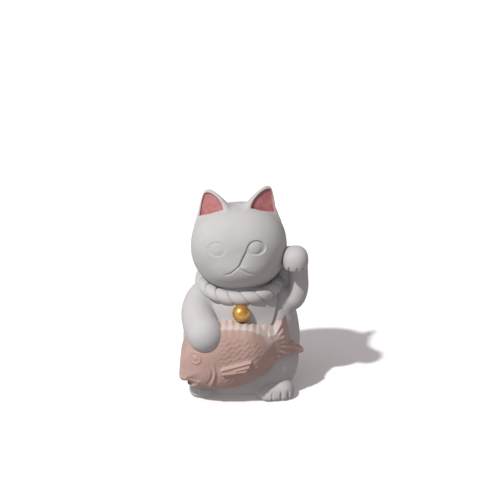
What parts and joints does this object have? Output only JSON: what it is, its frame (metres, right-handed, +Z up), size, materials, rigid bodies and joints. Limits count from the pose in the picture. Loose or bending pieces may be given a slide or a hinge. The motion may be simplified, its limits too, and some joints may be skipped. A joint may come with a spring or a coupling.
{
  "type": "beckoning cat figurine",
  "caption": "Seated white beckoning cat figurine with one forepaw raised beside its head and the other resting on a pink sea bream.",
  "frame": {"origin": "centre of the flat ring that the figurine stands on", "axes": "+Z up through the head, -Y the way the cat faces, +X the side of the raised paw"},
  "size_m": [0.0619, 0.071, 0.1007],
  "materials": {
    "white_bisque": "matte",
    "base_bisque": "matte",
    "pink_painted_bisque": "matte",
    "gold_painted_bisque": "satin"
  },
  "bodies": {
    "root": {"torso": "white_bisque", "base_disc": "base_bisque", "head": "white_bisque", "rope_collar": "white_bisque", "bell": "gold_painted_bisque", "sea_bream": "pink_painted_bisque", "lowered_foreleg": "white_bisque", "raised_foreleg": "white_bisque", "left_hind_foot": "white_bisque", "right_hind_foot": "white_bisque", "tail": "white_bisque"}
  },
  "joints": []
}
